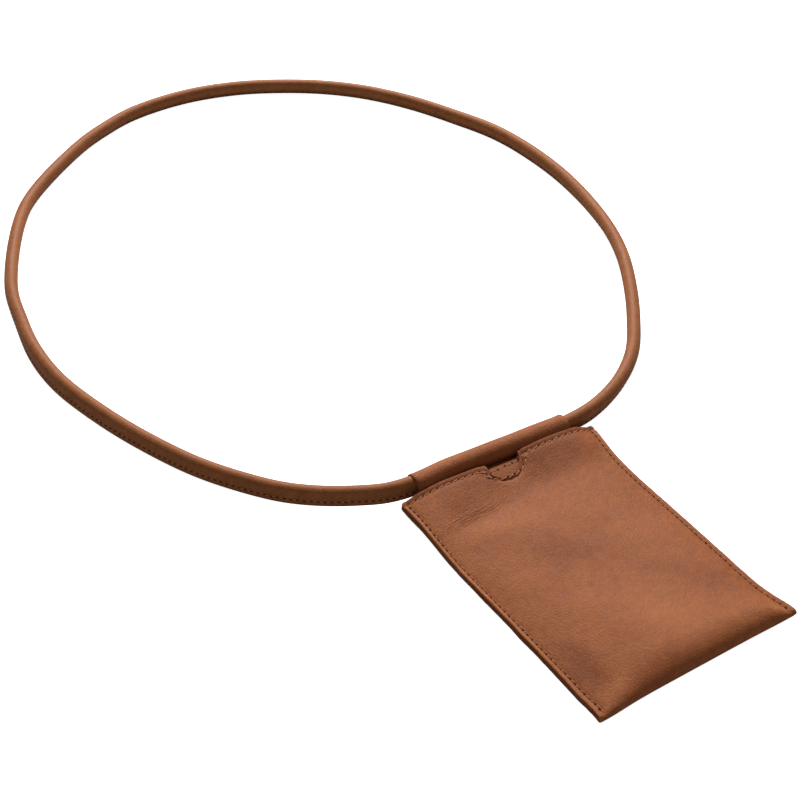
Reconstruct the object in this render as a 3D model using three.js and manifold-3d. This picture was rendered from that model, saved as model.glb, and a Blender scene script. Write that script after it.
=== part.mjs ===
// A leather phone pouch on a round neck cord, lying flat on a surface.
// Millimetres, +Z up. X runs across the pouch, +Y runs from its bottom fold to its mouth and on to the
// neck loop, and Z = 0 is the surface that it lies on. The origin is the middle of the pouch and its
// sleeve, on that surface.

import * as THREE from 'three';
import { mergeVertices } from 'three/addons/utils/BufferGeometryUtils.js';
import Module from 'manifold-3d';

const wasm = await Module();
wasm.setup();

// ---------------------------------------------------------------- driving dimensions

const LEATHER = 1.8; // thickness of the pouch leather
const CLEARANCE = 0.3; // gap kept between neighbouring pieces
const HALF_WIDTH = 56; // half the width at the corners
const BOTTOM_Y = -82.6; // the bottom fold
const LENGTH = 151.1; // from the bottom fold to the middle of the mouth
const MOUTH_SLOPE = -0.032; // the mouth edge is cut a little out of square
const SEAM_INSET = 0.93; // where the side seams hold the layers, as a share of the half width
const SEAM_HEIGHT = 2 * LEATHER + 0.2; // two layers and the thread's slack between them
const FOLD_RADIUS = SEAM_HEIGHT / 2; // roundness of the fold where it lies on the surface
const BACK_SETBACK = 1.9; // the back panel ends this far below the mouth edge, over the sleeve's tab

const NOTCH = { middleX: 1.3, halfWidth: 10.1, depth: 10.2, squareness: 0.75 };
const SLEEVE = { radius: 5.75, bore: 4.2, left: -44, right: 43, tabEndY: 58.9 };
const CORD_RADIUS = 3.7;

// How far the side edges lie from the middle line, going up from the bottom fold.
const EDGES = [
  { up: 0, left: -56.0, right: 56.0 },
  { up: 6, left: -55.7, right: 55.2 },
  { up: 15, left: -55.9, right: 53.2 },
  { up: 25, left: -55.6, right: 52.2 },
  { up: 45, left: -55.3, right: 52.1 },
  { up: 85, left: -55.5, right: 51.9 },
  { up: 110, left: -55.4, right: 51.6 },
  { up: 128, left: -55.3, right: 52.7 },
  { up: 142, left: -55.4, right: 54.5 },
  { up: 156, left: -56.0, right: 56.0 },
];

// Heights above the bottom fold at which both panels have a section.
const STATIONS = [8, 12, 18, 26, 36, 50, 68, 88, 104, 112, 119, 125, 130, 134, 137, 140, 142.5];

// The hollow between the two panels, at the bottom fold, in the belly and at the mouth, and the lift of
// the back panel at the mouth, where it rides up on the sleeve's tab. across is -1 at the left edge and
// 1 at the right edge.
const HOLLOW = [
  { across: -1.0, fold: 0.0, belly: 0.0, mouth: 0.0, lift: 4.1 },
  { across: -0.93, fold: 0.1, belly: 0.1, mouth: 0.1, lift: 4.6 },
  { across: -0.8, fold: 1.4, belly: 1.2, mouth: 0.3, lift: 5.4 },
  { across: -0.6, fold: 3.1, belly: 2.0, mouth: 0.9, lift: 5.7 },
  { across: -0.35, fold: 4.9, belly: 2.5, mouth: 0.6, lift: 5.5 },
  { across: -0.1, fold: 5.4, belly: 2.6, mouth: 0.4, lift: 5.2 },
  { across: 0.15, fold: 4.4, belly: 2.6, mouth: 1.1, lift: 4.8 },
  { across: 0.4, fold: 3.4, belly: 2.6, mouth: 1.8, lift: 4.5 },
  { across: 0.6, fold: 2.5, belly: 2.3, mouth: 1.5, lift: 4.3 },
  { across: 0.8, fold: 1.2, belly: 1.4, mouth: 0.3, lift: 3.9 },
  { across: 0.93, fold: 0.1, belly: 0.1, mouth: 0.1, lift: 0.6 },
  { across: 1.0, fold: 0.0, belly: 0.0, mouth: 0.0, lift: 0.1 },
];

// The cord's middle line. It starts inside the sleeve, leaves by the right mouth, goes round the loop
// and comes back by the left mouth to where it started.
const CORD_ROUTE = [
  [20.2, 74.4, 6.5], [43, 73, 6.1], [63, 75.2, 5.2], [85.3, 83.5, 4.3], [106.3, 98.2, 3.9],
  [124, 118.5, 3.9], [140.2, 141, 3.9], [154.3, 165.3, 3.9], [164.2, 191, 3.9], [172, 228, 3.9],
  [174, 263, 3.9], [169, 303, 3.9], [157, 334.2, 3.9], [144, 361, 3.9], [128.5, 384.2, 3.9],
  [110.5, 403, 3.9], [89, 419, 3.9], [64.5, 432.3, 3.9], [34, 441.3, 3.9], [0, 442.3, 3.9],
  [-23, 436.4, 3.9], [-44, 427.5, 3.9], [-87.7, 398.7, 3.9], [-107.2, 377.3, 3.9], [-136.5, 326, 3.9],
  [-144.4, 298, 3.9], [-149.2, 272, 3.9], [-149.5, 243, 3.9], [-142.3, 206, 3.9], [-132.6, 174.6, 3.9],
  [-122, 149, 3.9], [-110, 128.5, 3.9], [-97, 111, 4.2], [-82.8, 97.6, 5.1], [-69.8, 87.8, 6.2],
  [-57, 80.4, 7.1], [-44, 77.3, 7.6], [-22, 77, 7.4], [0, 75.6, 6.9], [19.8, 74.4, 6.5],
].map((point) => new THREE.Vector3(...point));

// ---------------------------------------------------------------- helpers

// The value of one column of a table at a key, on a smooth curve through the rows.
function tableAt(rows, keyName, column, key) {
  const last = rows.length - 1;
  const clamped = THREE.MathUtils.clamp(key, rows[0][keyName], rows[last][keyName]);
  let i = 0;
  while (i < last - 1 && rows[i + 1][keyName] < clamped) i += 1;
  const [a, b] = [rows[i], rows[i + 1]];
  const [before, after] = [rows[Math.max(i - 1, 0)], rows[Math.min(i + 2, last)]];
  const span = b[keyName] - a[keyName];
  const t = (clamped - a[keyName]) / span;
  const slopeA = ((b[column] - before[column]) / (b[keyName] - before[keyName])) * span;
  const slopeB = ((after[column] - a[column]) / (after[keyName] - a[keyName])) * span;
  const [t2, t3] = [t * t, t * t * t];
  return (2 * t3 - 3 * t2 + 1) * a[column] + (t3 - 2 * t2 + t) * slopeA
    + (3 * t2 - 2 * t3) * b[column] + (t3 - t2) * slopeB;
}

// A closed solid through a row of sections, each a loop of the same even number of points. The two ends
// are closed by strips between the two halves of their loops.
function loft(sections) {
  const perLoop = sections[0].length;
  const lastLoop = (sections.length - 1) * perLoop;
  const positions = sections.flat().flatMap((point) => [point.x, point.y, point.z]);
  const indices = [];
  for (let i = 0; i < lastLoop; i += perLoop) {
    for (let j = 0; j < perLoop; j += 1) {
      const a = i + j;
      const b = i + ((j + 1) % perLoop);
      indices.push(a, b, a + perLoop, b, b + perLoop, a + perLoop);
    }
  }
  for (let j = 0; j < perLoop / 2 - 1; j += 1) {
    const [a, b, c, d] = [j, j + 1, perLoop - 2 - j, perLoop - 1 - j];
    indices.push(a, c, b, a, d, c);
    indices.push(...[a, b, c, a, c, d].map((index) => index + lastLoop));
  }
  const geometry = new THREE.BufferGeometry();
  geometry.setAttribute('position', new THREE.Float32BufferAttribute(positions, 3));
  geometry.setIndex(indices);
  return geometry;
}

function toSolid(geometry) {
  const bare = geometry.clone();
  bare.deleteAttribute('normal');
  bare.deleteAttribute('uv');
  const merged = mergeVertices(bare, 1e-4);
  return new wasm.Manifold(new wasm.Mesh({
    numProp: 3,
    vertProperties: new Float32Array(merged.attributes.position.array),
    triVerts: new Uint32Array(merged.index.array),
  }));
}

function toGeometry(solid) {
  const mesh = solid.getMesh();
  const geometry = new THREE.BufferGeometry();
  geometry.setAttribute('position', new THREE.BufferAttribute(mesh.vertProperties, 3));
  geometry.setIndex(new THREE.BufferAttribute(mesh.triVerts, 1));
  geometry.computeVertexNormals();
  return geometry;
}

function circle(radius, sides) {
  const shape = new THREE.Shape();
  for (let i = 0; i < sides; i += 1) {
    const angle = (2 * Math.PI * i) / sides;
    const [x, y] = [radius * Math.cos(angle), radius * Math.sin(angle)];
    if (i === 0) shape.moveTo(x, y);
    else shape.lineTo(x, y);
  }
  shape.closePath();
  return shape;
}

function range(count, from, to) {
  return Array.from({ length: count }, (_, i) => from + ((to - from) * i) / (count - 1));
}

// ---------------------------------------------------------------- the pouch's surfaces

// across (-1 to 1) and up (from the fold) to X, and back: the sides pull in a little between the corners.
function pouchX(across, up) {
  const left = tableAt(EDGES, 'up', 'left', up);
  const right = tableAt(EDGES, 'up', 'right', up);
  return (left + right) / 2 + (across * (right - left)) / 2;
}

function acrossAt(x, up) {
  return (2 * x - pouchX(-1, up) - pouchX(1, up)) / (pouchX(1, up) - pouchX(-1, up));
}

const mouthUp = (across) => LENGTH + MOUTH_SLOPE * across * HALF_WIDTH;

// Height of the back panel's underside. It is flat on the surface up to where the sleeve's tab lifts it.
function backHeight(across, up) {
  const rampStart = 115 + 11 * across;
  return tableAt(HOLLOW, 'across', 'lift', across) * THREE.MathUtils.smoothstep(up, rampStart, 140);
}

function hollowHeight(across, up) {
  const nearFold = 1 - THREE.MathUtils.smoothstep(up, 6, 75);
  const nearMouth = THREE.MathUtils.smoothstep(up, 110, 146);
  return nearFold * tableAt(HOLLOW, 'across', 'fold', across)
    + (1 - nearFold - nearMouth) * tableAt(HOLLOW, 'across', 'belly', across)
    + nearMouth * tableAt(HOLLOW, 'across', 'mouth', across);
}

// One section of the pouch at a given place across, set in by inset from the leather's outer face: from
// the mouth down the front, round the bottom fold and up the back. overshoot carries it past the mouth.
function pouchSection(across, inset, overshoot) {
  const ridge = SEAM_HEIGHT + hollowHeight(across, 0);
  const reach = FOLD_RADIUS + 0.6 * (ridge - SEAM_HEIGHT);
  const middle = 1 - THREE.MathUtils.smoothstep(Math.abs(across), 0.82, 0.9);
  const frontEnd = mouthUp(across) + overshoot;
  const backEnd = frontEnd - BACK_SETBACK * middle;
  const front = [frontEnd, ...STATIONS.toReversed(), reach].map((up) => (
    [up, SEAM_HEIGHT + backHeight(across, up) + hollowHeight(across, up) - inset]
  ));
  const overFold = range(6, 0, Math.PI / 2).slice(1, -1).map((angle) => [
    reach - (reach - inset) * Math.sin(angle),
    FOLD_RADIUS + (ridge - FOLD_RADIUS - inset) * Math.cos(angle),
  ]);
  const underFold = range(5, Math.PI / 2, Math.PI).map((angle) => [
    FOLD_RADIUS - (FOLD_RADIUS - inset) * Math.sin(angle),
    FOLD_RADIUS + (FOLD_RADIUS - inset) * Math.cos(angle),
  ]);
  const back = [...STATIONS, backEnd].map((up) => [up, backHeight(across, up) + inset]);
  return [...front, ...overFold, ...underFold, ...back]
    .map(([up, z]) => new THREE.Vector3(pouchX(across, up), BOTTOM_Y + up, z));
}

function pouchBody() {
  const acrosses = [-1, ...range(29, -0.965, 0.965), 1];
  const outside = toSolid(loft(acrosses.map((across) => pouchSection(across, 0, 0))));
  const inner = range(29, -SEAM_INSET, SEAM_INSET);
  const hollow = toSolid(loft(inner.map((across) => pouchSection(across, LEATHER, 6))));
  return toGeometry(outside.subtract(hollow).subtract(thumbNotch()));
}

// The thumb notch, a half round a little squared at the bottom, goes through the front panel only.
function thumbNotch() {
  const across = acrossAt(NOTCH.middleX - NOTCH.halfWidth, LENGTH);
  const floor = backHeight(across, LENGTH) + LEATHER + 0.1;
  const edgeY = BOTTOM_Y + mouthUp(acrossAt(NOTCH.middleX, LENGTH));
  const outline = new THREE.Shape();
  outline.moveTo(-NOTCH.halfWidth, 4);
  for (const angle of range(17, Math.PI, 0)) {
    const x = NOTCH.halfWidth * Math.sign(Math.cos(angle)) * Math.abs(Math.cos(angle)) ** NOTCH.squareness;
    outline.lineTo(x, -NOTCH.depth * Math.abs(Math.sin(angle)) ** NOTCH.squareness);
  }
  outline.lineTo(NOTCH.halfWidth, 4);
  outline.closePath();
  const geometry = new THREE.ExtrudeGeometry(outline, { depth: 12, bevelEnabled: false });
  geometry.translate(NOTCH.middleX, edgeY, floor);
  return toSolid(geometry);
}

// ---------------------------------------------------------------- the cord and its sleeve

const cordCurve = new THREE.CatmullRomCurve3(CORD_ROUTE);

function tube(curve, radius, sides, steps) {
  const options = { steps, bevelEnabled: false, extrudePath: curve };
  return new THREE.ExtrudeGeometry(circle(radius, sides), options);
}

// The stretch of the route that lies in the sleeve, from left to right, and a little beyond both mouths.
const sleeveCurve = new THREE.CatmullRomCurve3([...CORD_ROUTE.slice(-6), ...CORD_ROUTE.slice(1, 4)]);

function pointAtX(curve, x) {
  let [low, high] = [0, 1];
  for (let i = 0; i < 30; i += 1) {
    const middle = (low + high) / 2;
    if (curve.getPoint(middle).x < x) low = middle;
    else high = middle;
  }
  return curve.getPoint((low + high) / 2);
}

function cordSleeve() {
  const rings = [];
  const tabs = [];
  for (const x of range(13, SLEEVE.left, SLEEVE.right)) {
    const centre = pointAtX(sleeveCurve, x);
    rings.push(range(25, 0, 2 * Math.PI).slice(0, -1).map((angle) => new THREE.Vector3(
      x,
      centre.y + SLEEVE.radius * Math.cos(angle),
      centre.z + SLEEVE.radius * Math.sin(angle),
    )));
    const across = acrossAt(x, mouthUp(0));
    const top = backHeight(across, mouthUp(across)) - CLEARANCE;
    const bottom = Math.max(top - 2 * LEATHER, 0);
    tabs.push([
      new THREE.Vector3(x, SLEEVE.tabEndY, bottom),
      new THREE.Vector3(x, centre.y - 1, bottom),
      new THREE.Vector3(x, centre.y - 1, top),
      new THREE.Vector3(x, SLEEVE.tabEndY, top),
    ]);
  }
  const wrapped = toSolid(loft(rings)).add(toSolid(loft(tabs)));
  return toGeometry(wrapped.subtract(toSolid(tube(sleeveCurve, SLEEVE.bore, 24, 24))));
}

// ---------------------------------------------------------------- the assembly

const pouchLeather = new THREE.MeshStandardMaterial({ color: '#a1674a', roughness: 0.62, metalness: 0 });
const cordLeather = new THREE.MeshStandardMaterial({ color: '#9c6241', roughness: 0.58, metalness: 0 });

function piece(name, geometry, material) {
  const mesh = new THREE.Mesh(geometry, material);
  mesh.name = name;
  return mesh;
}

const group = new THREE.Group();
group.add(
  piece('pouch_body', pouchBody(), pouchLeather),
  piece('cord_sleeve', cordSleeve(), pouchLeather),
  piece('neck_cord', tube(cordCurve, CORD_RADIUS, 12, 80), cordLeather),
);

export default group;
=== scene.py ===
# %% [markdown]
# # A leather phone pouch on a round neck cord
#
# The object is a flat pouch of brown leather for a phone, worn round the neck. One long strip of
# leather is folded at the bottom and sewn up both sides. A second strip is wrapped round the cord,
# above the mouth, and its two ends are sewn under the back panel. The cord is leather sewn round a
# soft core, so that it has a narrow flange along one side.
#
# The construction is already there: three plain solids, `pouch_body`, `cord_sleeve` and
# `neck_cord`. This lesson loads them, and then replaces each with a finished piece of leather in
# the same place, with its threads, raw edges, dents and grain. Lengths in the tables are in
# millimetres, because that is how a leather worker measures, and `MM` turns them into metres.

import math

import bpy
import numpy as np
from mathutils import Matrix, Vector


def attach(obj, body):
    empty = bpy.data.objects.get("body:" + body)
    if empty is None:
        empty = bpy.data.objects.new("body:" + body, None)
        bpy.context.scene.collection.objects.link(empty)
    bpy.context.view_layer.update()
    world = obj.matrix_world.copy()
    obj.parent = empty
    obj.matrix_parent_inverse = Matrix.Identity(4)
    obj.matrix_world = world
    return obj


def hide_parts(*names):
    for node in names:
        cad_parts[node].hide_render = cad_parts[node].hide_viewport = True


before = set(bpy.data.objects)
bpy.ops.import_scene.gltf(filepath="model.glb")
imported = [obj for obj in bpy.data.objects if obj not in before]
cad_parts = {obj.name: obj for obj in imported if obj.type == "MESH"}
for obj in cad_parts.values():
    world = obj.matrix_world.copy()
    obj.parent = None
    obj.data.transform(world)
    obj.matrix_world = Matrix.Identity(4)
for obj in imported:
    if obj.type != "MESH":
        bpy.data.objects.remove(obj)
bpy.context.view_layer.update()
MM = 0.001
print("nodes:", sorted(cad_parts))

# %% [markdown]
# ## The camera
#
# The camera comes first, because everything after it is judged through it. It looks down at 41
# degrees, from the front left of the pouch, through a rather long lens, which keeps the far end of
# the loop from shrinking much.

# %% Camera
AIM = Vector((-9.86, 139.69, 0.0)) * MM
AZIMUTH = math.radians(33.74)
ELEVATION = math.radians(41.0)
DISTANCE = 1013.3 * MM

look = Vector(
    (
        math.sin(AZIMUTH) * math.cos(ELEVATION),
        math.cos(AZIMUTH) * math.cos(ELEVATION),
        -math.sin(ELEVATION),
    )
)
camera_data = bpy.data.cameras.new("camera")
camera_data.sensor_width = 36
camera_data.lens = 90
camera = bpy.data.objects.new("camera", camera_data)
camera.location = AIM - look * DISTANCE
camera.rotation_euler = look.to_track_quat("-Z", "Y").to_euler()
bpy.context.scene.collection.objects.link(camera)
bpy.context.scene.camera = camera
print("camera at", [round(v, 3) for v in camera.location])

# %% [markdown]
# ## Small tools for numbers
#
# A few things come up again and again: a short table with named columns, a soft step from 0 to 1, a
# bell-shaped bump, a smooth curve through a table's rows, and a smooth path through a few points.
# NumPy does each for whole arrays at once, which is what makes a mesh of many thousand points quick
# to build.


# %% Tables, soft steps, paths
def table(columns, *rows):
    """A list of rows, each a dictionary under the names of the columns."""
    return [dict(zip(columns.split(), row)) for row in rows]


def soft_step(value, low, high):
    t = np.clip((value - low) / (high - low), 0.0, 1.0)
    return t * t * (3.0 - 2.0 * t)


def unit(vectors):
    return vectors / np.linalg.norm(vectors, axis=-1, keepdims=True)


def bell(off, half_width):
    """1 in the middle, and falling smoothly to 0 on both sides."""
    return np.exp(-((off / half_width) ** 2))


def hermite(t, start, start_slope, end, end_slope):
    """The cubic with these ends and slopes, as t goes from 0 to 1."""
    return (
        (2 * t**3 - 3 * t**2 + 1) * start
        + (t**3 - 2 * t**2 + t) * start_slope
        + (3 * t**2 - 2 * t**3) * end
        + (t**3 - t**2) * end_slope
    )


def table_curve(rows, key_name, column, key):
    """The value of one column at a key, on a smooth curve through the table's rows."""
    keys = np.array([row[key_name] for row in rows], float)
    values = np.array([row[column] for row in rows], float)
    before = np.maximum(np.arange(len(keys)) - 1, 0)
    after = np.minimum(np.arange(len(keys)) + 1, len(keys) - 1)
    slopes = (values[after] - values[before]) / (keys[after] - keys[before])
    key = np.clip(key, keys[0], keys[-1])
    i = np.clip(np.searchsorted(keys, key) - 1, 0, len(keys) - 2)
    span = keys[i + 1] - keys[i]
    t = (key - keys[i]) / span
    return hermite(t, values[i], slopes[i] * span, values[i + 1], slopes[i + 1] * span)


PATH_STEPS = 40  # fine steps between two given points of a path


def smooth_path(points, count):
    """Evenly spaced points on a centripetal Catmull-Rom curve through the given ones."""
    p = np.vstack([2 * points[:1] - points[1:2], points, 2 * points[-1:] - points[-2:-1]])
    t = np.linspace(0, 1, PATH_STEPS, endpoint=False)[:, None]
    fine = []
    for a, b, c, d in zip(p, p[1:], p[2:], p[3:]):
        ta, tb, tc = (np.sqrt(np.linalg.norm(v)) for v in (b - a, c - b, d - c))
        start = ((b - a) / ta - (c - a) / (ta + tb) + (c - b) / tb) * tb
        finish = ((c - b) / tb - (d - b) / (tb + tc) + (d - c) / tc) * tb
        fine.append(hermite(t, b, start, c, finish))
    fine = np.vstack(fine + [points[-1:]])
    run = np.concatenate([[0], np.cumsum(np.linalg.norm(np.diff(fine, axis=0), axis=1))])
    at = np.linspace(0, run[-1], count)
    return np.stack([np.interp(at, run, fine[:, k]) for k in range(3)], axis=1)


# %% [markdown]
# ## Waves without a texture
#
# Leather is never quite flat, and a cut edge is never quite straight. A sum of a few sine waves of
# unrelated lengths and directions gives a gentle, repeatable unevenness. The seeds are fixed, so
# each run gives the same pouch.


# %% Gentle unevenness
WAVES = 7  # sine waves in one ripple
WAVE_SUM = 4.0  # about the most that they add up to
WAVE_LENGTHS = (0.7, 1.6)  # as shares of the length given


def ripple(x, y, waves, reseed=0):
    """A smooth uneven surface, whose waves have about the height and the length given in waves."""
    draw = np.random.default_rng(waves["seed"] + reseed)
    total = np.zeros(np.broadcast(x, y).shape)
    for _ in range(WAVES):
        turn, phase = draw.uniform(0, 2 * math.pi, 2)
        rate = 2 * math.pi / (waves["length"] * draw.uniform(*WAVE_LENGTHS))
        total += np.sin(rate * (x * math.cos(turn) + y * math.sin(turn)) + phase)
    return waves["height"] * total / WAVE_SUM


# %% [markdown]
# ## A helper for meshes
#
# Every leather piece here is a grid of points: rows along one direction, columns along the other.
# This helper joins such grids with four-sided faces, gives each grid its own material, and writes
# values that the materials read, such as how dark the leather is at a point. The points are in
# millimetres, and the object stays at the origin, so that its place is in its mesh.


# %% Mesh helper
SHARP_ANGLE = math.radians(50)


def add_object(name, data):
    """Puts a mesh, light or camera in the scene, as an object at the origin."""
    item = bpy.data.objects.new(name, data)
    bpy.context.scene.collection.objects.link(item)
    return item


def make_object(name, points_mm, faces, materials, face_materials, values):
    """A smooth mesh with sharp corners where it turns by more than SHARP_ANGLE."""
    mesh = bpy.data.meshes.new(name)
    mesh.from_pydata((points_mm * MM).tolist(), [], faces)
    for material in materials:
        mesh.materials.append(material)
    mesh.polygons.foreach_set("material_index", face_materials)
    for label, numbers in values.items():
        attribute = mesh.attributes.new(label, "FLOAT", "POINT")
        attribute.data.foreach_set("value", np.full(len(points_mm), numbers, np.float32))
    mesh.shade_smooth()
    mesh.set_sharp_from_angle(angle=SHARP_ANGLE)
    print(name, "has", len(faces), "faces")
    return add_object(name, mesh)


def grid_faces(rows, columns, start=0, closed=False, flip=False):
    """Four-sided faces of a grid whose points are numbered row by row."""
    faces = []
    for i in range(rows - 1):
        for j in range(columns if closed else columns - 1):
            k = (j + 1) % columns
            a, b = start + i * columns + j, start + i * columns + k
            c, d = b + columns, a + columns
            faces.append((a, d, c, b) if flip else (a, b, c, d))
    return faces


def tube_faces(rings, size):
    """Faces of a tube of equal rings, the last two of which close its ends."""
    last = (rings - 1) * size
    ends = [tuple(range(size - 1, -1, -1)), tuple(range(last, last + size))]
    return grid_faces(rings, size, closed=True) + ends


# %% [markdown]
# ## Colours and nodes
#
# Colours are written as sRGB hex values, as in a paint program. Cycles works in linear light, so
# one function converts them. One small function adds a node, sets its values and makes its links,
# and another adds up patterns. A new material already has a Principled shader and an output.


# %% Colour and node helpers
def linear(hex_colour):
    channels = [int(hex_colour[i : i + 2], 16) / 255 for i in (1, 3, 5)]
    return [c / 12.92 if c <= 0.04045 else ((c + 0.055) / 1.055) ** 2.4 for c in channels] + [1.0]


def set_inputs(tree, node, inputs):
    """An input given as a socket is linked, and any other value is set."""
    for key, value in inputs.items():
        if isinstance(value, bpy.types.NodeSocket):
            tree.links.new(value, node.inputs[key])
        else:
            node.inputs[key].default_value = value


def add_node(tree, kind, inputs, give=0, **settings):
    """Adds a node, and returns the output that give says."""
    node = tree.nodes.new(kind)
    for key, value in settings.items():
        setattr(node, key, value)
    set_inputs(tree, node, inputs)
    return node.outputs[give]


def add_up(tree, start, parts):
    """The start value plus each pattern times its strength."""
    for pattern, strength in parts:
        terms = {0: pattern, 1: strength, 2: start}
        start = add_node(tree, "ShaderNodeMath", terms, operation="MULTIPLY_ADD")
    return start


def new_material(name):
    """An empty material, its nodes and its shader."""
    material = bpy.data.materials.new(name)
    material.use_nodes = True
    return material, material.node_tree, material.node_tree.nodes["Principled BSDF"]


# %% [markdown]
# ## Oiled pull-up leather
#
# The pouch is cowhide with oil and wax in it, which tanners call pull-up leather. Where it is bent
# or rubbed the wax moves and the colour changes, so it is cloudy on the scale of a thumb, mottled
# on the scale of a few millimetres, and its grain is a fine net about a millimetre across. It has a
# soft, broad shine. Real pores are about 0.1 mm wide, too fine to show from here, so the grain is
# drawn at 0.8 to 2 mm. The hide was pulled a little to one side, so the net is stretched that way,
# and so are the wrinkles, which show only where the mesh says that the leather is creased.


# %% Leather material
# Sizes of the patterns in metres, and how finely each is broken up.
LEATHER_PATTERNS = table(
    "size detail unevenness",
    (0.030, 4.0, 0.6),  # clouds of wax
    (0.0045, 4.0, 0.7),  # mottle
    (0.0009, 2.0, 0.6),  # speckle
    (0.011, 2.0, 0.5),  # warm spots
)
NET = {"turn": 28, "size": (0.0020, 0.0008, 0.0011), "groove": 0.25}
WRINKLES = {"turn": 9, "size": (0.0055, 0.0007, 0.004)}
TONE_START = -0.585  # brings the sum of the three patterns to about a half
WARMEST = 0.12
SHINE_CHANGE = 0.07


def leather(name, light, dark, warm, roughness, grain_depth):
    material, tree, shader = new_material(name)
    place = add_node(tree, "ShaderNodeTexCoord", {}, "Object")
    shade = add_node(tree, "ShaderNodeAttribute", {}, "Fac", attribute_name="shade")
    crease = add_node(tree, "ShaderNodeAttribute", {}, "Fac", attribute_name="crease")
    patterns = []
    for row in LEATHER_PATTERNS:
        look = {"Scale": 1 / row["size"], "Detail": row["detail"], "Roughness": row["unevenness"]}
        patterns.append(add_node(tree, "ShaderNodeTexNoise", {"Vector": place, **look}, "Fac"))
    clouds, mottle, speckle, warm_spots = patterns

    # How light the leather is at a point: the three patterns, then the shade stored in the mesh.
    tone = add_up(tree, TONE_START, [(clouds, 0.42), (mottle, 1.2), (speckle, 0.55), (shade, 1.0)])
    browns = {"Factor": tone, 6: linear(dark), 7: linear(light)}
    brown = add_node(tree, "ShaderNodeMix", browns, 2, data_type="RGBA")
    warmth = add_node(
        tree,
        "ShaderNodeMapRange",
        {"Value": warm_spots, "From Min": 0.5, "From Max": 0.75, "To Max": WARMEST},
    )
    colours = {"Factor": warmth, 6: brown, 7: linear(warm)}
    colour = add_node(tree, "ShaderNodeMix", colours, 2, data_type="RGBA")
    ends = {"To Min": roughness - SHINE_CHANGE, "To Max": roughness + SHINE_CHANGE}
    shine = add_node(
        tree, "ShaderNodeMapRange", {"Value": mottle, "From Min": 0.3, "From Max": 0.7, **ends}
    )

    # The bump: the net of the grain, speckle and mottle everywhere, and wrinkles at the creases.
    stretched = []
    for stretch in (NET, WRINKLES):
        turn = {"Rotation": (0, 0, math.radians(stretch["turn"])), "Scale": stretch["size"]}
        stretched.append(
            add_node(tree, "ShaderNodeMapping", {"Vector": place, **turn}, vector_type="TEXTURE")
        )
    cells = {"Vector": stretched[0], "Scale": 1.0}
    net = add_node(tree, "ShaderNodeTexVoronoi", cells, "Distance", feature="DISTANCE_TO_EDGE")
    net = add_node(tree, "ShaderNodeMapRange", {"Value": net, "From Max": NET["groove"]})
    waves = {"Vector": stretched[1], "Scale": 1.0, "Distortion": 0.4}
    wrinkle = add_node(tree, "ShaderNodeTexNoise", waves, "Fac")
    wrinkle = add_node(tree, "ShaderNodeMath", {0: wrinkle, 1: crease}, operation="MULTIPLY")
    height = add_up(tree, 0.0, [(net, 1.9), (speckle, 1.2), (mottle, 1.8), (wrinkle, 16.0)])
    bump = add_node(tree, "ShaderNodeBump", {"Height": height, "Distance": grain_depth})
    look = {"Base Color": colour, "Roughness": shine, "IOR": 1.46, "Specular IOR Level": 0.08}
    set_inputs(tree, shader, {**look, "Normal": bump})
    return material


pouch_leather = leather(
    "oiled pull-up leather", "#995b35", "#713c1e", "#9a5632", 0.55, 0.00005
)
cord_leather = leather(
    "oiled leather, stretched round a core", "#915a36", "#6f3f20", "#935733", 0.5, 0.00003
)

# %% [markdown]
# ## Raw edges, the flesh side and the thread
#
# Where the leather was cut, its fibres show: it is lighter, dry and a little woolly, and nothing
# polishes it. The raw edge of the cord's flange, low down against the table, is painted dark:
# painted shade for the underside of the cord and the dark line where it touches down. The flesh
# side, inside the pouch, is like suede. The thread is waxed polyester, a little lighter than the
# leather, and the needle's holes are dark because little light gets into them.


# %% Other materials
def fibrous(name, light, dark, grain):
    material, tree, shader = new_material(name)
    place = add_node(tree, "ShaderNodeTexCoord", {}, "Object")
    fuzz = {"Vector": place, "Scale": 1 / grain, "Detail": 4.0}
    fibre = add_node(tree, "ShaderNodeTexNoise", fuzz, "Fac")
    browns = {"Factor": fibre, 6: linear(dark), 7: linear(light)}
    colour = add_node(tree, "ShaderNodeMix", browns, 2, data_type="RGBA")
    bump = add_node(tree, "ShaderNodeBump", {"Height": fibre, "Distance": grain / 3})
    look = {"Base Color": colour, "Roughness": 0.9, "Specular IOR Level": 0.25}
    set_inputs(tree, shader, {**look, "Normal": bump})
    return material


def plain(name, colour, roughness, glow=0.0):
    material, tree, shader = new_material(name)
    look = {"Base Color": linear(colour), "Roughness": roughness, "Specular IOR Level": 0.1}
    set_inputs(tree, shader, {**look, "Emission Strength": glow})
    return material


cut_edge = fibrous("cut leather edge", "#8c4c24", "#50260f", 0.0009)
# painted shade: the cord's flange edge is dark for the shade under the cord
cord_edge_painted_shade = fibrous("cord edge, painted dark as shade", "#673618", "#35190a", 0.0009)
flesh_side = fibrous("suede flesh side", "#8f5636", "#6c3c22", 0.0012)
waxed_thread = fibrous("waxed polyester thread", "#b0754c", "#875536", 0.0005)
needle_hole = plain("needle hole", "#261005", 1.0)
# painted shade: the dark brown of the shade in the cord's stitch holes
cord_hole_painted_shade = plain("cord stitch holes, painted shade", "#50260e", 1.0)

# %% [markdown]
# ## The neck cord
#
# A cord like this is a strip of leather folded round a core of soft rope and sewn shut close to the
# core. The two layers of the strip stand out beside the seam as a flange, about 2.4 mm thick. Lying
# on a table the cord rolls a little along its length, so the flange leans outwards near the pouch
# and hides underneath on the far side. Its route is a short list of points, the same as the solid
# cord's, and its lean is a small table against the share of the way round.

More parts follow.
